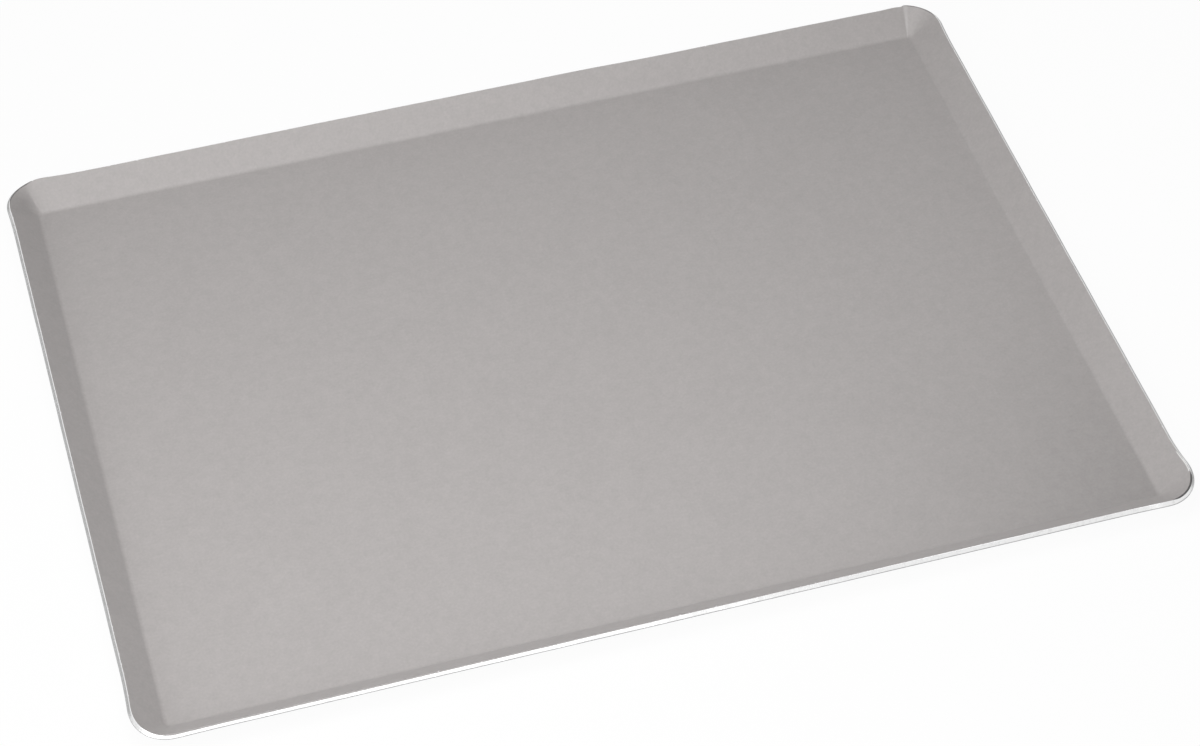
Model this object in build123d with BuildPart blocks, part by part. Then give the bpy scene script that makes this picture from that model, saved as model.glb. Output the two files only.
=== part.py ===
# A flat baking tray, also called a cookie sheet: one pressed aluminium sheet with a low
# flared wall all round, and a thin non-stick film baked on its inside.
# Millimetres and degrees. X runs along the tray, Y across it, and Z up. The origin is the
# middle of the underside, where the tray stands on a shelf.
import os
from math import radians, sin, sqrt, tan

from build123d import *

os.makedirs("parts", exist_ok=True)

# The whole tray, over the lower arris of the cut edge at the straight walls. Easing that
# arris takes an eighth of a millimetre off each side again.
overall_length = 400
overall_width = 300

# The sheet and its film.
sheet_thickness = 2
coating_thickness = 0.05

# The pressed form. The depth runs from the metal's inner skin up to the straight rim.
inside_depth = 9.2
wall_slope = 41
inside_bend_radius = 3
floor_corner_radius = 0.5

# The trimmed rim, seen from above. Drawn metal gathers at the corners, where the rim
# stands proud of the straight walls by an ear and runs back into them along the ear's run.
rim_corner_radius = 15.5
largest_ear = 1.6
ear_run = 18
ear_shares = {
    "back_right": 0.35,
    "back_left": 0.55,
    "front_left": 0.6,
    "front_right": 1,
}

# The pressing is made this much too tall, and the trimming takes it off again. The lower
# arris of the cut edge is eased afterwards, so that it doesn't cut a hand.
trimming_allowance = 4
eased_arris_radius = 0.3

# How far each stretch of the section reaches outwards, and what is left for the floor.
slope = radians(wall_slope)
wall_draft = 90 - wall_slope
cut_edge_reach = sheet_thickness * sin(slope)
wall_reach = inside_depth / tan(slope)
bend_reach = inside_bend_radius * tan(slope / 2)
rim_length = overall_length - 2 * cut_edge_reach
rim_width = overall_width - 2 * cut_edge_reach
rim_height = sheet_thickness + inside_depth
floor_length = rim_length - 2 * (wall_reach + bend_reach)
floor_width = rim_width - 2 * (wall_reach + bend_reach)


def filling(inset):
    """The solid that fills the pressing up to a skin lying inset from the metal's inner
    skin: a drafted block with conical corners, rounded along the fold round its floor."""
    bend_radius = inside_bend_radius - inset
    fold_reach = bend_radius * tan(slope / 2)
    floor_height = sheet_thickness + inset
    with BuildPart() as block:
        with BuildSketch(Plane.XY.offset(floor_height)):
            RectangleRounded(
                floor_length + 2 * fold_reach,
                floor_width + 2 * fold_reach,
                floor_corner_radius + fold_reach,
            )
        extrude(amount=rim_height + trimming_allowance - floor_height, taper=-wall_draft)
        fillet(block.edges().group_by(Axis.Z)[0], bend_radius)
    return block.part


def rim_corner(side_x, side_y, ear):
    """The rim's points round one corner, from the wall along X to the wall along Y: where
    the ear starts, where the corner arc starts, the arc's middle, and the two ends."""
    centre_x = rim_length / 2 + ear - rim_corner_radius
    centre_y = rim_width / 2 + ear - rim_corner_radius
    ear_radius = (ear_run**2 + ear**2) / (2 * ear) - rim_corner_radius
    lean_share = ear_run / (ear_radius + rim_corner_radius)
    across = rim_corner_radius * lean_share
    outwards = rim_corner_radius * sqrt(1 - lean_share**2)
    diagonal = rim_corner_radius * sqrt(1 / 2)
    points = [
        (centre_x - ear_run, rim_width / 2),
        (centre_x - across, centre_y + outwards),
        (centre_x + diagonal, centre_y + diagonal),
        (centre_x + outwards, centre_y - across),
        (rim_length / 2, centre_y - ear_run),
    ]
    return [Vector(side_x * x, side_y * y) for x, y in points]


# The corners in order round the rim, anticlockwise from above.
ears = {corner: share * largest_ear for corner, share in ear_shares.items()}
back_right = rim_corner(1, 1, ears["back_right"])[::-1]
back_left = rim_corner(-1, 1, ears["back_left"])
front_left = rim_corner(-1, -1, ears["front_left"])[::-1]
front_right = rim_corner(1, -1, ears["front_right"])
corners = [back_right, back_left, front_left, front_right]

# The trimming keeps what lies inside the rim's outline, which is drawn at the height of
# the straight rim. The cut stands square to the walls, so it leans in above that height
# and out below it, down to the shelf.
with BuildPart() as trimming:
    with BuildSketch(Plane.XY.offset(rim_height)) as rim_outline:
        with BuildLine():
            for before, corner in zip(corners[-1:] + corners[:-1], corners):
                ear_start, arc_start, arc_middle, arc_end, ear_end = corner
                wall = Line(before[-1], ear_start)
                TangentArc(ear_start, arc_start, tangent=wall % 1)
                corner_arc = ThreePointArc(arc_start, arc_middle, arc_end)
                TangentArc(arc_end, ear_end, tangent=corner_arc % 1)
        make_face()
    extrude(amount=trimming_allowance, taper=wall_slope)
    extrude(rim_outline.sketch, amount=-rim_height, taper=-wall_slope)


def is_cut_face(face):
    """Whether a face looks up and away from the tray's middle, as only the cut edge does.
    The floor looks straight up, so it gets nowhere near a sheet's thickness away."""
    normal, centre = face.normal_at(), face.center()
    away = normal.X * centre.X + normal.Y * centre.Y
    return normal.Z > 0 and away > sheet_thickness


# The aluminium: everything between its outer and its inner skin.
with BuildPart() as pressed_sheet:
    add(filling(-sheet_thickness))
    add(filling(0), mode=Mode.SUBTRACT)
    add(trimming.part, mode=Mode.INTERSECT)
    cut_faces = pressed_sheet.faces().filter_by(is_cut_face)
    lower_arris = [face.edges().sort_by(Axis.Z)[0] for face in cut_faces]
    fillet(lower_arris, eased_arris_radius)
pressed_sheet.part.label = "pressed_sheet"
export_step(pressed_sheet.part, "parts/pressed_sheet.step")


# The film was baked on the flat sheet before pressing, so the same trimming bares the
# aluminium's cut edge and ends the film flush with it.
with BuildPart() as nonstick_coating:
    add(filling(0))
    add(filling(coating_thickness), mode=Mode.SUBTRACT)
    add(trimming.part, mode=Mode.INTERSECT)
nonstick_coating.part.label = "nonstick_coating"
export_step(nonstick_coating.part, "parts/nonstick_coating.step")
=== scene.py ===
# %% [markdown]
# # Dressing a cookie sheet
# The real tray is one aluminium sheet, 2 mm thick, with a grey non-stick film baked on one
# side. It is cut to a rounded rectangle, and a press turns its border up into a low wall.
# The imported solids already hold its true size. This script gives it finely curved surfaces
# and the finish of each material, and it sets up the studio in which it is looked at.

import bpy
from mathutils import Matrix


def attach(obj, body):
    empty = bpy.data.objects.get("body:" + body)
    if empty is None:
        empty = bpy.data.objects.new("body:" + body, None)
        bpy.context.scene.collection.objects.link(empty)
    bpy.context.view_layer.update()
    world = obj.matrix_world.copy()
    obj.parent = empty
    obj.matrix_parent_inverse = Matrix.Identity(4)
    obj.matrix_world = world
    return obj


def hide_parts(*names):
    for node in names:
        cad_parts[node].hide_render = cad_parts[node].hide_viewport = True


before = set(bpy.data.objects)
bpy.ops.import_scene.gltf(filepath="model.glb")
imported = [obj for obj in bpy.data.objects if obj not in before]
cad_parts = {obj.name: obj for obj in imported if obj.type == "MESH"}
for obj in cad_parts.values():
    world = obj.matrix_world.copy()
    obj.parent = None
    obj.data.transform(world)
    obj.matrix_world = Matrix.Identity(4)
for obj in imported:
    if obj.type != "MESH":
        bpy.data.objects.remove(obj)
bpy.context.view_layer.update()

# %% [markdown]
# ## Sizes
# Everything is in metres, in the same frame as the solids: X along the tray, Y across it,
# Z up, with the origin in the middle of the underside. A pressed tray follows from a few
# sizes, because the section through its wall is the same all round: flat, bend, slope.

# %% Sizes of the tray
from math import ceil, cos, exp, hypot, pi, radians, sin, tan

import bmesh
import bpy
from mathutils import Matrix, Vector

MM = 0.001

overall_length = 400 * MM
overall_width = 300 * MM
sheet_thickness = 2 * MM
film_thickness = 0.05 * MM
inside_depth = 9.2 * MM
wall_slope = radians(41)
bend_radius = 3 * MM
floor_corner_radius = 0.5 * MM

rim_corner_radius = 15.5 * MM
largest_ear = 1.6 * MM
ear_run = 18 * MM
ear_shares = {"back_right": 0.35, "back_left": 0.55, "front_left": 0.6, "front_right": 1}

# How far out each stretch of the section ends, along the sheet itself and seen from above.
bend_length = bend_radius * wall_slope
flat_and_bend_length = floor_corner_radius + bend_length
flat_and_bend_reach = floor_corner_radius + bend_radius * sin(wall_slope)
fold_reach = floor_corner_radius + bend_radius * tan(wall_slope / 2)
rim_reach = fold_reach + inside_depth / tan(wall_slope)
corner_x = overall_length / 2 - sheet_thickness * sin(wall_slope) - rim_reach
corner_y = overall_width / 2 - sheet_thickness * sin(wall_slope) - rim_reach
print("floor corners' centres at", corner_x, corner_y, "and the rim", rim_reach, "further out")

# %% [markdown]
# ## The trimmed outline
# Drawing metal round a corner pushes some of it outwards, so the rim stands a little proud
# beside each corner, like small ears, before it turns. The outline is known from above. To
# cut the flat blank right, each spot on the floor's edge asks how far up its own wall the
# outline lies. The cut stands square to the wall, so the outline tightens with height, and
# halving an interval finds the height at which wall and outline meet.

# %% Distance from the floor's edge to the rim
halvings = 40


def outline_gap(along, outwards, ear):
    """How far a spot lies outside the rim, from above, at the straight rim's height. Both
    ways are counted from the centre of the nearest floor corner."""
    along, outwards = min(along, outwards), max(along, outwards)
    arc_centre = rim_reach + ear - rim_corner_radius
    ear_radius = (ear_run**2 + ear**2) / (2 * ear) - rim_corner_radius
    lean_share = ear_run / (ear_radius + rim_corner_radius)
    from_centre = hypot(along - arc_centre, outwards - arc_centre)
    if along - arc_centre >= -lean_share * from_centre:
        return from_centre - rim_corner_radius
    if along >= arc_centre - ear_run:
        beside = along - arc_centre + ear_run
        return ear_radius - hypot(beside, outwards - rim_reach - ear_radius)
    return outwards - rim_reach


def length_to_rim(spot, way, ear):
    """The length of sheet from a spot on the floor's edge, out and up to the rim."""
    low, high = 0, 2 * rim_reach
    for _ in range(halvings):
        reach = (low + high) / 2
        above_rim = (reach - rim_reach) * tan(wall_slope)
        place = spot + reach * way
        if outline_gap(place.x, place.y, ear) + above_rim * tan(wall_slope) > 0:
            high = reach
        else:
            low = reach
    return flat_and_bend_length + (reach - flat_and_bend_reach) / cos(wall_slope)


middle_of_wall = Vector((-corner_x, 0))
wall_length = length_to_rim(middle_of_wall, Vector((0, 1)), largest_ear) - flat_and_bend_length
print("the straight walls slope up along", wall_length, "of sheet")

# %% [markdown]
# ## Columns round the blank
# Before the press closes, the tray is a flat plate, and it is drawn here as that plate.
# Columns run outwards from the edge of the floor's grid and fan out round the corners. A
# bevelled cube would be quicker, but its edges would not lie on the folds.
#
# The columns lie closer towards the corners, where there is more to show. Each one also
# knows what was done to it. A corner leaves a crease up the wall near the end of each long
# side, where the metal gave way first. In the middle of a corner the metal was squeezed,
# which rounds its arris more and pulls the film over it, and the shears dragged the film
# over the front wall's arris too, further and further towards the left. Just past a corner,
# on the short side, stacked trays have rubbed the film. The right end of the back wall was
# trimmed half a millimetre low, and a little lower still beside its corner. And nowhere is
# the trimming quite straight: it wanders inside its outline by up to a tenth of a
# millimetre.

# %% Columns, and what the press does to them
cell = 3 * MM
cells_x = 2 * ceil(corner_x / cell)
cells_y = 2 * ceil(corner_y / cell)
fan_steps = 30
crowding = 0.35

rim_wander = 0.1 * MM
low_rim_drop = 0.45 * MM
low_rim_start = 45 * MM
low_rim_slope = 30 * MM
lowest_rim_start = 165 * MM
lowest_rim_slope = 15 * MM
lowest_rim_gain = 0.7
low_rim_end = 2 * MM
rim_wander_lengths = (14 * MM, 9 * MM)
crease_turns = {"back_right": 80, "back_left": 68, "front_left": 74, "front_right": 85}
crease_shares = {"back_right": 0.7, "back_left": 1.6, "front_left": 0.15, "front_right": 0.3}
crease_width_on_corner = 7.5 * MM
crease_width_on_wall = 3 * MM
crease_sharpness = 0.4 * MM
squeeze_breadth = 1.5
squeeze_shares = {"back_right": 0.35, "back_left": 0.45, "front_left": 0.1, "front_right": 1}
rub_shares = {"back_right": 0.3, "back_left": 0.55, "front_left": 0.3, "front_right": 1}
rub_place = -4.5 * MM
rub_width = 6.5 * MM
rub_flatness = 4


def floor_spot(i, j):
    """A crossing of the floor's grid, whose lines crowd towards its borders."""
    shares = (2 * i / cells_x - 1, 2 * j / cells_y - 1)
    crowded = [share * (1 + crowding * (1 - share**2)) for share in shares]
    return Vector((corner_x * crowded[0], corner_y * crowded[1]))


def wall_columns():
    """The floor's grid crossing and the way outwards of every column, anticlockwise from
    the front end of the right wall."""
    right, back, left, front = (Vector(way) for way in ((1, 0), (0, 1), (-1, 0), (0, -1)))
    sides = [
        (right, back, [(cells_x, j) for j in range(cells_y + 1)]),
        (back, left, [(i, cells_y) for i in reversed(range(cells_x + 1))]),
        (left, front, [(0, j) for j in reversed(range(cells_y + 1))]),
        (front, right, [(i, 0) for i in range(cells_x + 1)]),
    ]
    for way, next_way, crossings in sides:
        for crossing in crossings:
            yield crossing, way
        for step in range(1, fan_steps):
            turn = pi / 2 * step / fan_steps
            yield crossings[-1], cos(turn) * way + sin(turn) * next_way


def eased(value):
    """Goes smoothly from 0 to 1 as the value does."""
    value = min(max(value, 0), 1)
    return value**2 * (3 - 2 * value)


def marks_of(corner, spot, way):
    """How strongly a column is creased, squeezed, overlapped, rubbed and trimmed too low,
    each as a share of the size named for it, which the deepest crease and the lowest rim
    exceed. A corner turns from 0 on its short wall to a quarter turn."""
    turn = Vector((abs(way.x), abs(way.y))).angle(Vector((1, 0)))
    past_turn = corner_x - abs(spot.x) if turn > pi / 4 else abs(spot.y) - corner_y
    round_corner = rim_reach * turn + past_turn
    from_crease = round_corner - rim_reach * radians(crease_turns[corner])
    width = crease_width_on_wall if from_crease > 0 else crease_width_on_corner
    crease = exp((crease_sharpness - hypot(from_crease, crease_sharpness)) / width)
    trimmed_low = 0
    if corner == "back_right" and from_crease > 0:
        low = eased((spot.x - low_rim_start) / low_rim_slope)
        lowest = eased((spot.x - lowest_rim_start) / lowest_rim_slope)
        trimmed_low = low * (1 + lowest_rim_gain * lowest) * eased(from_crease / low_rim_end)
    facing_front = max(-way.y, 0) ** 2
    from_rub = (round_corner - rub_place) / rub_width
    return {
        "crease": crease_shares[corner] * crease,
        "squeeze": squeeze_shares[corner] * eased(squeeze_breadth * sin(2 * turn)),
        "overlap": facing_front * eased(0.5 - spot.x / (2 * corner_x)),
        "rub": rub_shares[corner] * exp(-(from_rub**rub_flatness)),
        "trimmed_low": trimmed_low,
    }


columns = []
travel = 0
last_rim = None
for crossing, way in wall_columns():
    spot = floor_spot(*crossing)
    corner = ("back" if spot.y > 0 else "front") + ("_right" if spot.x > 0 else "_left")
    from_corner = Vector((abs(spot.x) - corner_x, abs(spot.y) - corner_y))
    upright_way = Vector((abs(way.x), abs(way.y)))
    length = length_to_rim(from_corner, upright_way, ear_shares[corner] * largest_ear)
    rim = spot + length * way
    travel += (rim - last_rim).length if last_rim else 0
    last_rim = rim
    slow, quick = (sin(travel / wander_length) for wander_length in rim_wander_lengths)
    length -= rim_wander * (1 + slow * quick) / 2
    marks = marks_of(corner, spot, way)
    length -= low_rim_drop * marks["trimmed_low"]
    columns.append((crossing, spot, way, length, travel, marks))
rim_travel = travel
print(len(columns), "columns round a rim of", rim_travel)

# %% [markdown]
# ## Rows across the blank
# Every column crosses the same rows. A row is a share of the wall's length, a shift, a
# height and whether it lies on the cut edge. Rows lie closest where the sheet will bend and
# round the arrises. The shears round the upper arris as they enter the metal, and the lower
# one is eased afterwards so that it doesn't cut a hand. The film ends part of the way round
# the upper arris, or down on the cut face where it was pulled or dragged over the arris.

# %% Rows of the sheet and of the film
bend_steps = 8
wall_steps = 9
arris_steps = 5
# Rows about this close beside a bend or an arris keep the shading flat right up to it.
guard = 0.05 * MM

rolled_arris_radius = 0.3 * MM
squeezed_arris_gain = 0.25 * MM
eased_arris_radius = 0.3 * MM
film_lap = 0.1 * MM
film_lap_gain = 0.65 * MM
unmarked = {"squeeze": 0, "overlap": 0}


def skin_rows(height, edge_shift):
    """The rows of one skin, from the floor out to the start of its arris."""
    rows = [(0, -flat_and_bend_length, height, 0)]
    for step in range(bend_steps + 1):
        rows.append((0, bend_length * (step / bend_steps - 1), height, 0))
    rows.append((0, 2 * guard, height, 0))
    for step in range(1, wall_steps):
        rows.append((step / wall_steps, 0, height, 0))
    rows.append((1, edge_shift - guard, height, 0))
    return rows


def rows_past_the_rim(rolled, off_the_metal, travel):
    """Rows at a distance off the metal, round the rolled arris and on down the cut face."""
    rows = []
    for step in range(arris_steps + 1):
        past = travel * step / arris_steps
        turn = min(past / rolled, pi / 2)
        down = past - rolled * turn
        radius = rolled + off_the_metal
        rows.append((1, radius * sin(turn) - rolled, radius * cos(turn) - rolled - down, 1))
    return rows


def eased_rows():
    """Rows round the eased lower arris, from the cut face to the underside."""
    rows = []
    for step in range(arris_steps + 1):
        turn = pi / 2 * (1 + step / arris_steps)
        shift = eased_arris_radius * (sin(turn) - 1)
        rows.append((1, shift, eased_arris_radius * (1 + cos(turn)) - sheet_thickness, 1))
    return rows


def sheet_rows(marks):
    """The sheet's rows, over its upper skin, down the cut face and back underneath."""
    rolled = rolled_arris_radius + squeezed_arris_gain * marks["squeeze"]
    face_end = eased_arris_radius + guard - sheet_thickness
    return (
        skin_rows(0, -rolled)
        + rows_past_the_rim(rolled, 0, rolled * pi / 2)
        + [(1, 0, -rolled - guard, 1), (1, 0, face_end, 1)]
        + eased_rows()
        + skin_rows(-sheet_thickness, -eased_arris_radius)[::-1]
    )


def film_rows(marks):
    """The film's rows, over its top, round its end and back along the metal."""
    rolled = rolled_arris_radius + squeezed_arris_gain * marks["squeeze"]
    lap = film_lap + film_lap_gain * max(marks["squeeze"], marks["overlap"])
    return (
        skin_rows(film_thickness, -rolled)
        + rows_past_the_rim(rolled, film_thickness, lap)
        + rows_past_the_rim(rolled, 0, lap)[::-1]
        + skin_rows(0, -rolled)[::-1]
    )


row_counts = [len(rows_for(unmarked)) for rows_for in (sheet_rows, film_rows)]
print(row_counts, "rows across the sheet and across the film")

# %% [markdown]
# ## The flat plates
# A plate is a closed mesh. Its vertices carry what later steps need: their column's marks,
# how far inside the rim they lie, whether they lie on the cut edge, and `rim_lap`, their
# place on a ring as long as the rim. With the ring, the marks of the shears follow the edge
# all the way round with no seam.

# %% Draw a plate
def add_floor(mesh, height, flip):
    """A grid of vertices and faces over the floor."""
    spots = {}
    for i in range(cells_x + 1):
        for j in range(cells_y + 1):
            spots[i, j] = mesh.verts.new((*floor_spot(i, j), height))
    for i in range(cells_x):
        for j in range(cells_y):
            corners = [spots[i, j], spots[i + 1, j], spots[i + 1, j + 1], spots[i, j + 1]]
            mesh.faces.new(corners[::-1] if flip else corners)
    return spots


def flat_plate(name, rows_for):
    """A closed plate, flat, whose border follows the columns and rows."""
    mesh = bmesh.new()
    lap_layer = mesh.verts.layers.float_vector.new("rim_lap")
    labels = ("crease", "squeeze", "rub", "inside_rim", "cut_edge")
    layers = {label: mesh.verts.layers.float.new(label) for label in labels}
    upper = add_floor(mesh, rows_for(unmarked)[0][2], flip=False)
    lower = add_floor(mesh, rows_for(unmarked)[-1][2], flip=True)
    ring_radius = rim_travel / (2 * pi)
    strips = []
    for crossing, spot, way, length, travel, marks in columns:
        strip = [upper[crossing]]
        turn = travel / ring_radius
        for share, shift, height, on_edge in rows_for(marks)[1:-1]:
            out = flat_and_bend_length + share * (length - flat_and_bend_length) + shift
            vertex = mesh.verts.new((*(spot + out * way), height))
            vertex[lap_layer] = (ring_radius * cos(turn), ring_radius * sin(turn), height)
            values = {**marks, "inside_rim": length - out, "cut_edge": on_edge}
            for label, layer in layers.items():
                vertex[layer] = values[label]
            strip.append(vertex)
        strips.append(strip + [lower[crossing]])
    for strip, following in zip(strips, strips[1:] + strips[:1]):
        for row in range(len(strip) - 1):
            corners = [strip[row], strip[row + 1], following[row + 1], following[row]]
            mesh.faces.new(list(dict.fromkeys(corners)))
    data = bpy.data.meshes.new(name)
    mesh.to_mesh(data)
    mesh.free()
    plate = bpy.data.objects.new(name, data)
    bpy.context.scene.collection.objects.link(plate)
    print(name, "starts as a flat plate of", len(data.polygons), "faces")
    return plate


sheet_plate = flat_plate("aluminium_sheet", sheet_rows)
film_plate = flat_plate("nonstick_film", film_rows)

# %% [markdown]
# ## Writing node trees as sums
# Node trees hold a lot of arithmetic. Wrapping a socket in a small class lets Python's own
# operators add the Math nodes, so that a formula reads as it would on paper, in geometry
# trees and in materials alike.

# %% A socket that can be reckoned with
class Link:
    """A node's output. Arithmetic on it adds Math nodes to its tree."""

    def __init__(self, graph, socket):
        self.graph = graph
        self.socket = socket

    def output(self, which):
        return Link(self.graph, self.socket.node.outputs[which])

    def math(self, operation, *others):
        return self.graph.math(operation, self, *others)

    def __add__(self, other):
        return self.math("ADD", other)

    def __sub__(self, other):
        return self.math("SUBTRACT", other)

    def __rsub__(self, other):
        return self.graph.math("SUBTRACT", other, self)

    def __mul__(self, other):
        return self.math("MULTIPLY", other)

    def __truediv__(self, other):
        return self.math("DIVIDE", other)

    __radd__ = __add__
    __rmul__ = __mul__

    def at_least(self, other):
        return self.math("MAXIMUM", other)

    def at_most(self, other):
        return self.math("MINIMUM", other)

    def between(self, low, high):
        return self.at_least(low).at_most(high)


class Graph:
    """A node tree under construction."""

    def __init__(self, tree):
        self.tree = tree
        tree.nodes.clear()

    def node(self, kind, settings=None, values=None):
        """Adds a node: first its settings, then the values or links of its sockets."""
        node = self.tree.nodes.new(kind)
        for name, setting in (settings or {}).items():
            setattr(node, name, setting)
        for name, value in (values or {}).items():
            if isinstance(value, Link):
                self.tree.links.new(value.socket, node.inputs[name])
            else:
                node.inputs[name].default_value = value
        return Link(self, node.outputs[0]) if node.outputs else None

    def math(self, operation, *values):
        return self.node("ShaderNodeMath", {"operation": operation}, dict(enumerate(values)))

    def vector(self, x, y, z=0.0):
        return self.node("ShaderNodeCombineXYZ", values={0: x, 1: y, 2: z})

    def axes(self, vector):
        parts = self.node("ShaderNodeSeparateXYZ", values={0: vector})
        return [parts.output(axis) for axis in "XYZ"]


# %% [markdown]
# ## The press
# A Geometry Nodes tree does what the press does. A spot on the floor stays where it is. A
# spot past the floor's edge keeps its way outwards, and its distance is spent first on the
# last bit of flat, then on the bend's arc and last on the slope. A spot's height in the
# plate is its distance from the metal's inner skin, which makes the bend tighter inside and
# wider outside, as in real sheet. The same rule wraps the corners into cones.
#
# The wall sinks a little along the creases, most of all halfway up, and the rim stays nearly
# round. Sheet metal is never quite flat either, so a slow wave lifts the whole tray by up to
# a fifth of a millimetre.

# %% The press as a node tree
rim_hold_share = 0.92
crease_depth = 2.6 * MM
wave_height = 0.18 * MM
wave_scale = 9.0
wave_detail = 1.0
wave_seed = 4.0


def press_tree():
    """The Geometry Nodes tree that presses a flat plate, and its inputs' identifiers."""
    tree = bpy.data.node_groups.new("press", "GeometryNodeTree")
    face = tree.interface
    face.new_socket("Plate", in_out="INPUT", socket_type="NodeSocketGeometry")
    sizes = ("Corner X", "Corner Y", "Floor corner radius", "Bend radius", "Slope",
             "Sheet thickness", "Wall length", "Crease depth", "Wave height", "Wave scale", "Seed")
    for size in sizes:
        face.new_socket(size, in_out="INPUT", socket_type="NodeSocketFloat")
    face.new_socket("Finish", in_out="INPUT", socket_type="NodeSocketMaterial")
    face.new_socket("Pressed plate", in_out="OUTPUT", socket_type="NodeSocketGeometry")
    graph = Graph(tree)
    given = graph.node("NodeGroupInput")
    flat, radius, slope = (
        given.output(size) for size in ("Floor corner radius", "Bend radius", "Slope")
    )

    x, y, height = graph.axes(graph.node("GeometryNodeInputPosition"))
    edge_x = x.between(given.output("Corner X") * -1, given.output("Corner X"))
    edge_y = y.between(given.output("Corner Y") * -1, given.output("Corner Y"))
    past_x, past_y = x - edge_x, y - edge_y
    past = (past_x * past_x + past_y * past_y).math("SQRT")
    nowhere = 1e-9
    way_x = past_x / past.at_least(nowhere)
    way_y = past_y / past.at_least(nowhere)

    turned = (past - flat).between(0, radius * slope) / radius
    up_the_wall = (past - flat - radius * slope).at_least(0)
    skin_radius = radius - height
    reach = past.at_most(flat) + skin_radius * turned.math("SINE")
    reach = reach + up_the_wall * slope.math("COSINE")
    rise = given.output("Sheet thickness") + radius - skin_radius * turned.math("COSINE")
    rise = rise + up_the_wall * slope.math("SINE")

    crease = graph.node("GeometryNodeInputNamedAttribute", values={"Name": "crease"})
    wall_share = up_the_wall / given.output("Wall length")
    sunk_share = wall_share * (1 - rim_hold_share * wall_share)
    rise = rise - crease * sunk_share * given.output("Crease depth")
    wave = graph.node(
        "ShaderNodeTexNoise",
        {"noise_dimensions": "4D"},
        {"Vector": graph.vector(x, y), "W": given.output("Seed"),
         "Scale": given.output("Wave scale"), "Detail": wave_detail},
    )
    rise = rise + wave * given.output("Wave height")

    place = graph.vector(edge_x + way_x * reach, edge_y + way_y * reach, rise)
    shape = graph.node(
        "GeometryNodeSetPosition",
        values={"Geometry": given.output("Plate"), "Position": place},
    )
    shape = graph.node("GeometryNodeSetShadeSmooth", values={0: shape})
    shape = graph.node("GeometryNodeRealizeInstances", values={0: shape})
    finish = given.output("Finish")
    shape = graph.node("GeometryNodeSetMaterial", values={0: shape, "Material": finish})
    graph.node("NodeGroupOutput", values={0: shape})
    inputs = {item.name: item.identifier for item in face.items_tree if item.in_out == "INPUT"}
    return tree, inputs


press, press_inputs = press_tree()
press_sizes = {
    "Corner X": corner_x,
    "Corner Y": corner_y,
    "Floor corner radius": floor_corner_radius,
    "Bend radius": bend_radius,
    "Slope": wall_slope,
    "Sheet thickness": sheet_thickness,
    "Wall length": wall_length,
    "Crease depth": crease_depth,
    "Wave height": wave_height,
    "Wave scale": wave_scale,
    "Seed": wave_seed,
}
print("the press is a tree of", len(press.nodes), "nodes")

# %% [markdown]
# The press runs as a modifier. Its result is then turned into a plain mesh, which the frame
# can take over.

# %% Press a plate
def pressed(plate, finish):
    """Presses a flat plate and returns it as a plain mesh object of the same name."""
    modifier = plate.modifiers.new("press", "NODES")
    modifier.node_group = press
    for size, value in press_sizes.items():
        modifier[press_inputs[size]] = value
    modifier[press_inputs["Finish"]] = finish
    view = bpy.context.evaluated_depsgraph_get()
    result = plate.evaluated_get(view)
    mesh = bpy.data.meshes.new_from_object(result, preserve_all_data_layers=True, depsgraph=view)
    name = plate.name
    bpy.data.objects.remove(plate)
    piece = bpy.data.objects.new(name, mesh)
    bpy.context.scene.collection.objects.link(piece)
    heights = [vertex.co.z for vertex in mesh.vertices]
    print(name, "is pressed, from", min(heights), "to", max(heights), "high")
    return piece


# %% [markdown]
# ## Helpers for finishes
# A finish is a handful of patterns added up. All patterns read either the tray's own
# coordinates or the ring round the rim, so they stay on the metal wherever it is looked at.

# %% Patterns for finishes
usual_detail = 2.0
fine_detail = 3.0
noise_middle = 0.5


def new_finish(name):
    """A material, its tree under construction and its shader coordinates."""
    material = bpy.data.materials.new(name)
    material.use_nodes = True
    graph = Graph(material.node_tree)
    return material, graph, graph.node("ShaderNodeTexCoord").output("Object")


def stretched(graph, vector, x, y, z):
    """A vector whose pattern is repeated x, y and z times per metre."""
    return graph.node("ShaderNodeVectorMath", {"operation": "MULTIPLY"}, {0: vector, 1: (x, y, z)})


def noise(graph, vector, size, detail=usual_detail):
    """A noise of about 0.3 to 0.7 with patches of the given size in metres."""
    values = {"Vector": vector, "Scale": 1 / size, "Detail": detail}
    return graph.node("ShaderNodeTexNoise", values=values)


def swing(pattern, strength):
    """A noise's swing to both sides of zero, times a strength."""
    return (pattern - noise_middle) * strength


def step_between(graph, value, low, high):
    """Rises smoothly from 0 to 1 as the value goes from low to high."""
    settings = {"interpolation_type": "SMOOTHSTEP"}
    values = {"Value": value, "From Min": low, "From Max": high}
    return graph.node("ShaderNodeMapRange", settings, values)


def mixed(graph, share, first, second):
    """A colour between two colours. The node's sockets for numbers, vectors and colours
    share their names, so the ones for colours are counted here."""
    share_socket, first_socket, second_socket, result_socket = 0, 6, 7, 2
    values = {share_socket: share, first_socket: first, second_socket: second}
    mix = graph.node("ShaderNodeMix", {"data_type": "RGBA"}, values)
    return mix.output(result_socket)


def relief_bump(graph, height, depth, strength):
    """A bent surface normal, as fine relief of the given depth would give it."""
    values = {"Strength": strength, "Distance": depth, "Height": height}
    return graph.node("ShaderNodeBump", values=values)


def attribute(graph, name, output="Fac"):
    """What the plate's vertices carry under a name."""
    return graph.node("ShaderNodeAttribute", {"attribute_name": name}).output(output)


def grey(level):
    return (level, level, level, 1.0)


black, white = grey(0.0), grey(1.0)


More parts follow.
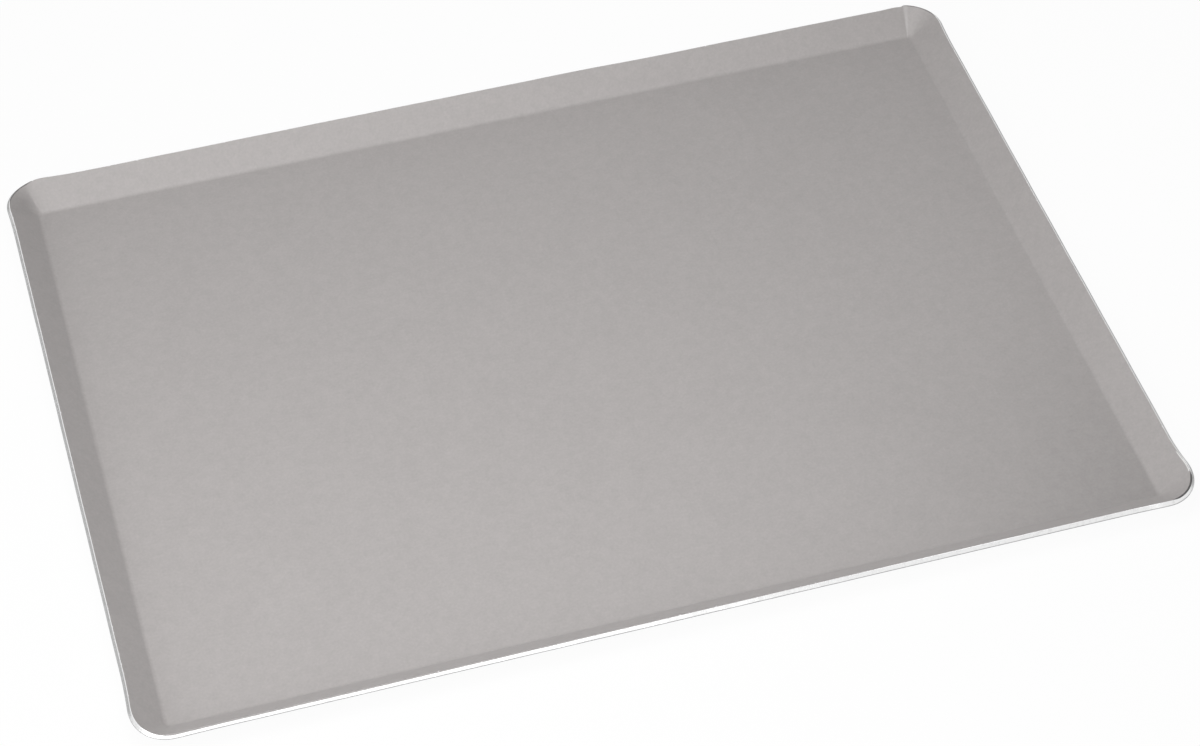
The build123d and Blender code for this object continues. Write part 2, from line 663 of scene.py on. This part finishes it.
# %% [markdown]
# ## The non-stick film
# The film is sprayed on in a thin mist and baked, so it is matt and warm grey with a fine
# speckle, and its fine grain gives it a faint sheen. Its colour also carries painted shade:
# a touch darker on the short walls, over the front right of the floor and, in blotches, up
# the back left corner, and a little darker along the folds. What darkened it isn't known, and
# baked-on fat would look like that. Painted shade darkens it where it laps over the arris,
# nearly to black where a corner squeezed it, and a painted highlight makes it paler along the
# crease at the right end of the back wall. It is worn through to bright metal in small chips
# on the arris, and in short scuffs just inside the rim.

# %% Finish of the film
film_tone = 0.4
film_tint = (1.055, 1.0, 0.986)
film_spread = 0.08
speckle_size = 1 * MM
speckle_strength = 1.4
mottle_size = 3.5 * MM
mottle_strength = 0.9
cloud_size = 26 * MM
cloud_strength = 0.3

# Painted shade along the folds: how dark, how wide, and how much the mist varies it.
fold_painted_shade = 0.04
fold_painted_shade_width = 12 * MM
fold_painted_shade_base = 0.6
fold_painted_shade_mist = 0.8
# Painted shade on the short walls.
short_walls_painted_shade = 0.08
# Painted shade over the front right of the floor: how dark and how wide.
front_right_painted_shade = 0.13
front_right_painted_shade_width = 75 * MM
# Blotchy painted shade up the back left corner's walls.
back_left_painted_shade = 0.2
back_left_painted_shade_width = 5 * MM
back_left_painted_shade_reach = 5.7 * MM
back_left_painted_shade_base = 0.5
# A painted highlight along the crease at the right end of the back wall.
crease_highlight_range = (0.55, 0.68)
crease_painted_highlight = 0.12
# Painted shade on the film where it laps over the arris, nearly black where a corner squeezed it.
lap_painted_shade_tone = 0.05
lap_painted_shade = 0.15
squeezed_lap_painted_shade = 0.75
squeezed_lap_gain = 1.6

chip_size = 1.6 * MM
chip_flatness = 2
chip_spell_size = 45 * MM
chip_spell_strength = 0.5
chip_rub_strength = 0.15
chipped_range = (0.93, 0.96)
scuff_fray = 0.5
scuffed_range = (0.62, 0.7)
scuff_start = 0.4 * MM
scuff_end = 0.8 * MM
scuff_blur = 0.1 * MM
worn_tone = 0.8

film_roughness = 0.58
speckle_roughness = 0.15
worn_roughness = 0.33
film_sheen = 0.08
film_grain_size = 0.45 * MM
film_grain_depth = 0.02 * MM
film_grain_strength = 0.35


def film_grey(share):
    """The film's colour, at a share of its usual tone."""
    return (*(share * film_tone * part for part in film_tint), 1.0)


def soft_patch(x, y, middle_x, middle_y, width):
    """A soft round patch: 1 in its middle, and fading out over its width."""
    away_x, away_y = (x - middle_x) / width, (y - middle_y) / width
    return (0 - away_x * away_x - away_y * away_y).math("EXPONENT")


def film_painted_shade(graph, place, mottle, mist):
    """How much painted shade darkens the film, from 0 to 1."""
    x, y = graph.axes(place)[:2]
    inside_x = corner_x - x.math("ABSOLUTE")
    inside_y = corner_y - y.math("ABSOLUTE")
    nearer = inside_x.at_most(inside_y)
    on_floor = step_between(graph, nearer, -flat_and_bend_reach, -floor_corner_radius)
    # Painted shade that fades away from the folds across the floor.
    painted_fold_mask = 0.0
    for inside in (inside_x, inside_y):
        painted_fold_mask = painted_fold_mask + (inside.at_least(0) / -fold_painted_shade_width).math("EXPONENT")
    painted_fold_mask = painted_fold_mask * (fold_painted_shade_base + fold_painted_shade_mist * mist)
    past_x, past_y = inside_x.at_most(0), inside_y.at_most(0)
    past_x, past_y = past_x * past_x, past_y * past_y
    short_wall = past_x / (past_x + past_y).at_least(MM**2)
    front_right_shade_patch = soft_patch(x, y, corner_x, -corner_y, front_right_painted_shade_width)
    patch_x, patch_y = -corner_x - back_left_painted_shade_reach, corner_y + back_left_painted_shade_reach
    back_left_shade_patch = soft_patch(x, y, patch_x, patch_y, back_left_painted_shade_width)
    back_left_shade_patch = back_left_shade_patch * (back_left_painted_shade_base + mottle)
    painted_floor_shade = painted_fold_mask * fold_painted_shade + front_right_shade_patch * front_right_painted_shade
    painted_wall_shade = short_wall * short_walls_painted_shade + back_left_shade_patch * back_left_painted_shade
    return on_floor * painted_floor_shade + (1 - on_floor) * painted_wall_shade


def film_wear(graph, lap, on_edge):
    """Where the film is worn through: chips on the arris, and scuffs inside the rim."""
    chips = noise(graph, stretched(graph, lap, 1, 1, chip_flatness), chip_size, fine_detail)
    spells = noise(graph, lap, chip_spell_size)
    rub = attribute(graph, "rub")
    chipping = chips + spells * chip_spell_strength + rub * chip_rub_strength
    chipped = step_between(graph, chipping, *chipped_range) * on_edge
    inside_rim = attribute(graph, "inside_rim")
    scuff = step_between(graph, rub + swing(chips, scuff_fray), *scuffed_range)
    scuff = scuff * step_between(graph, inside_rim, scuff_start, scuff_start + scuff_blur)
    scuff = scuff * step_between(graph, inside_rim, scuff_end, scuff_end - scuff_blur)
    return chipped.at_least(scuff)


def film_finish():
    """The film's material."""
    material, graph, place = new_finish("baked_grey_film")
    speckle = noise(graph, place, speckle_size, fine_detail)
    mottle = noise(graph, place, mottle_size)
    mist = noise(graph, place, cloud_size)
    tone = 0.5 + swing(speckle, speckle_strength) + swing(mottle, mottle_strength)
    tone = tone + swing(mist, cloud_strength)
    darkest, palest = film_grey(1 - film_spread), film_grey(1 + film_spread)
    colour = mixed(graph, tone.between(0, 1), darkest, palest)
    # Painted shade darkens the film's colour.
    painted_shade = film_painted_shade(graph, place, mottle, mist)
    colour = mixed(graph, painted_shade.between(0, 1), colour, black)

    # Painted highlight: paler along the back right crease.
    crease_highlight = step_between(graph, attribute(graph, "crease"), *crease_highlight_range)
    crease_highlight = crease_highlight * step_between(graph, graph.axes(place)[0], 0, corner_x)
    colour = mixed(graph, crease_highlight * crease_painted_highlight, colour, white)
    lap = attribute(graph, "rim_lap", "Vector")
    on_edge = attribute(graph, "cut_edge")
    squeezed = (attribute(graph, "squeeze") * squeezed_lap_gain).between(0, 1)
    # Painted shade where the film laps over the arris.
    lap_painted_shade_share = on_edge * (lap_painted_shade + squeezed_lap_painted_shade * squeezed)
    colour = mixed(graph, lap_painted_shade_share, colour, grey(lap_painted_shade_tone))
    worn = film_wear(graph, lap, on_edge)
    colour = mixed(graph, worn, colour, grey(worn_tone))

    grain = noise(graph, place, film_grain_size)
    bump = relief_bump(graph, grain, film_grain_depth, film_grain_strength)
    roughness = film_roughness + swing(speckle, speckle_roughness)
    shader = graph.node(
        "ShaderNodeBsdfPrincipled",
        values={
            "Base Color": colour,
            "Metallic": worn,
            "Roughness": roughness + worn * (worn_roughness - film_roughness),
            "Sheen Weight": film_sheen,
            "Normal": bump,
        },
    )
    graph.node("ShaderNodeOutputMaterial", values={"Surface": shader})
    return material


film = pressed(film_plate, film_finish())

# %% [markdown]
# ## The bare aluminium
# The underside keeps the fine lines of the rolling mill, which run along the tray. The cut
# edge tells how it was made: the shears first slide along the metal and burnish a bright
# band, and then the rest tears off and leaves a duller, rougher band with a burr, whose dark
# colour is partly painted shade. The burnished band is nearly a mirror, but for patches that
# are duller, as handling makes them.

# %% Finish of the metal
skin_tone = 0.8
darkest_skin_share = 0.93
palest_skin_share = 1.05
skin_roughness = 0.36
mill_line_size = 0.6 * MM
mill_line_stretch = 0.012
mill_line_drop = 0.5
mill_line_strength = 1.2
mill_line_roughness = 0.3
mill_line_relief = 0.25
skin_cloud_size = 40 * MM
skin_cloud_strength = 0.6
skin_cloud_roughness = 0.15

burnished_tone = 0.82
torn_tone = 0.66
burr_and_painted_shade_tone = 0.42
burnished_share = 0.78
burnished_roughness = 0.18
torn_roughness = 0.4
drag_size = 0.35 * MM
drag_stretch = 0.15
drag_roughness = 0.2
tear_wobble_size = 7 * MM
tear_wobble = 0.4
tear_fray = 0.25
tear_blur = 0.05
dull_patch_size = 2 * MM
dulled_range = (0.5, 0.6)
dulled_share = 0.5
crumb_size = 0.5 * MM
burr_fray = 0.25
burr_range = (0.85, 0.92)
metal_grain_depth = 0.03 * MM
metal_grain_strength = 0.5


def aluminium_finish():
    """The metal's material."""
    material, graph, place = new_finish("bare_aluminium")
    along_the_mill = stretched(graph, place, mill_line_stretch, 1, mill_line_drop)
    mill_lines = noise(graph, along_the_mill, mill_line_size, fine_detail)
    cloud = noise(graph, place, skin_cloud_size)
    skin = 0.5 + swing(mill_lines, mill_line_strength) + swing(cloud, skin_cloud_strength)
    darkest, palest = grey(skin_tone * darkest_skin_share), grey(skin_tone * palest_skin_share)
    skin_colour = mixed(graph, skin.between(0, 1), darkest, palest)

    lap = attribute(graph, "rim_lap", "Vector")
    on_edge = attribute(graph, "cut_edge")
    down = graph.axes(lap)[2] / -sheet_thickness
    drags = noise(graph, stretched(graph, lap, 1, 1, drag_stretch), drag_size, fine_detail)
    wobble = noise(graph, lap, tear_wobble_size)
    tear_line = down + swing(wobble, tear_wobble) + swing(drags, tear_fray)
    tear_range = (burnished_share - tear_blur, burnished_share + tear_blur)
    torn = step_between(graph, tear_line, *tear_range)
    dulled = step_between(graph, noise(graph, lap, dull_patch_size, fine_detail), *dulled_range)
    dull = torn.at_least(dulled * dulled_share)
    edge_colour = mixed(graph, dull, grey(burnished_tone), grey(torn_tone))
    crumbs = noise(graph, lap, crumb_size, fine_detail)
    # The burr, whose dark line is partly painted shade.
    burr_and_painted_shade = step_between(graph, down + swing(crumbs, burr_fray), *burr_range)
    edge_colour = mixed(graph, burr_and_painted_shade, edge_colour, grey(burr_and_painted_shade_tone))
    colour = mixed(graph, on_edge, skin_colour, edge_colour)

    on_skin = skin_roughness + swing(mill_lines, mill_line_roughness)
    on_skin = on_skin + swing(cloud, skin_cloud_roughness)
    edge = burnished_roughness + swing(drags, drag_roughness)
    edge = edge + dull * (torn_roughness - burnished_roughness)
    relief = mill_lines * (1 - on_edge) * mill_line_relief + (drags + crumbs * torn) * on_edge
    bump = relief_bump(graph, relief, metal_grain_depth, metal_grain_strength)
    shader = graph.node(
        "ShaderNodeBsdfPrincipled",
        values={
            "Base Color": colour,
            "Metallic": 1.0,
            "Roughness": on_skin + on_edge * (edge - on_skin),
            "Normal": bump,
        },
    )
    graph.node("ShaderNodeOutputMaterial", values={"Surface": shader})
    return material


sheet = pressed(sheet_plate, aluminium_finish())

# %% [markdown]
# ## Into the frame
# Both pieces belong to the tray's one body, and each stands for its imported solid.

# %% Hand the pieces to the frame
for piece, node, slot in (
    (sheet, "pressed_sheet", "bare_aluminium"),
    (film, "nonstick_coating", "nonstick_film"),
):
    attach(piece, "root")
    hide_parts(node)
    print(piece.name, "stands for", node)

# %% [markdown]
# ## The camera
# The camera looks down on the tray from its front left, through a long lens, and is rolled
# by a degree and a half.

# %% Set up the camera
view_azimuth = radians(-14.802)
view_elevation = radians(45.917)
view_roll = radians(-1.625)
view_distance = 1.3083
view_target = Vector((6.05 * MM, -15.58 * MM, sheet_thickness))
# The camera's own sizes: the sensor is in millimetres, and the rest in pixels of the photo.
sensor_width = 36
photo_width = 1200
focal_pixels = 3376.1

backwards = Vector((
    sin(view_azimuth) * cos(view_elevation),
    -cos(view_azimuth) * cos(view_elevation),
    sin(view_elevation),
))
level_right = Vector((0, 0, 1)).cross(backwards).normalized()
camera_right = Matrix.Rotation(view_roll, 3, backwards) @ level_right
camera_up = backwards.cross(camera_right)
camera_data = bpy.data.cameras.new("camera")
camera_data.sensor_fit = "HORIZONTAL"
camera_data.sensor_width = sensor_width
camera_data.lens = sensor_width * focal_pixels / photo_width
camera = bpy.data.objects.new("camera", camera_data)
turned = Matrix((camera_right, camera_up, backwards)).transposed().to_4x4()
camera.matrix_world = Matrix.Translation(view_target + view_distance * backwards) @ turned
bpy.context.scene.collection.objects.link(camera)
bpy.context.scene.camera = camera
print("camera at", tuple(camera.matrix_world.translation), "with a lens of", camera_data.lens)

# %% [markdown]
# ## The studio
# The tray lies on a pale table. A soft light hangs over its front left corner, which is why
# that corner is the brightest, and a larger one further off on the left brings out the
# walls. A wide low one in front lights the back wall, and a weak one overhead keeps the far
# end from falling away.

# %% Soft lights
def soft_light(name, azimuth, elevation, distance, size, power):
    """A square light that faces the tray. Azimuth turns clockwise from the back, seen from
    above."""
    data = bpy.data.lights.new(name, "AREA")
    data.shape = "SQUARE"
    data.size = size
    data.energy = power
    azimuth, elevation = radians(azimuth), radians(elevation)
    towards = Vector((sin(azimuth) * cos(elevation), cos(azimuth) * cos(elevation), sin(elevation)))
    light = bpy.data.objects.new(name, data)
    light.location = distance * towards
    light.rotation_euler = towards.to_track_quat("Z", "Y").to_euler()
    bpy.context.scene.collection.objects.link(light)


soft_light("near_light", azimuth=217, elevation=68, distance=0.6, size=0.4, power=1.9)
soft_light("side_light", azimuth=240, elevation=35, distance=1.1, size=0.7, power=3.7)
soft_light("front_light", azimuth=195, elevation=15, distance=1.1, size=1, power=1.95)
soft_light("top_light", azimuth=90, elevation=80, distance=0.6, size=0.4, power=0.55)

# %% [markdown]
# The world is a plain grey dome for the light that it sheds and white for whoever looks at
# it, also in a reflection. The table looks white too, but mixes in enough of its own shading
# to keep the tray's soft shadow. Reflections show the table darker than the camera does, as
# in a studio whose lit ground ends just outside the picture: that gives the lower side of
# the bright cut edge its thin dark line.

# %% World and table
dome_light = 0.18
table_white_share = 0.95
table_tone = 0.9
mirrored_white_share = 0.3
mirrored_table_tone = 0.3
table_half_width = 3
table_gap = 0.02 * MM


def looks(graph):
    """1 for rays from the camera, and 1 for reflected or refracted rays, 0 for others."""
    rays = graph.node("ShaderNodeLightPath")
    mirrored = rays.output("Is Glossy Ray").at_least(rays.output("Is Transmission Ray"))
    return rays.output("Is Camera Ray"), mirrored


world = bpy.data.worlds.new("studio")
bpy.context.scene.world = world
world.use_nodes = True
graph = Graph(world.node_tree)
seen, mirrored = looks(graph)
strength = dome_light + seen.at_least(mirrored) * (1 - dome_light)
dome = graph.node("ShaderNodeBackground", values={"Color": white, "Strength": strength})
graph.node("ShaderNodeOutputWorld", values={"Surface": dome})

table_mesh = bpy.data.meshes.new("table")
corners = [(-1, -1), (1, -1), (1, 1), (-1, 1)]
spots = [(table_half_width * x, table_half_width * y, -table_gap) for x, y in corners]
table_mesh.from_pydata(spots, [], [(0, 1, 2, 3)])
table = bpy.data.objects.new("table", table_mesh)
bpy.context.scene.collection.objects.link(table)

table_finish, graph, place = new_finish("pale_table")
seen, mirrored = looks(graph)
table_colour = mixed(graph, mirrored, grey(table_tone), grey(mirrored_table_tone))
matt = graph.node("ShaderNodeBsdfDiffuse", values={"Color": table_colour})
glow = graph.node("ShaderNodeEmission", values={"Color": white, "Strength": 1.0})
share = seen * table_white_share + mirrored * mirrored_white_share
surface = graph.node("ShaderNodeMixShader", values={0: share, 1: matt, 2: glow})
graph.node("ShaderNodeOutputMaterial", values={"Surface": surface})
table_mesh.materials.append(table_finish)
bpy.context.scene.view_settings.view_transform = "Standard"
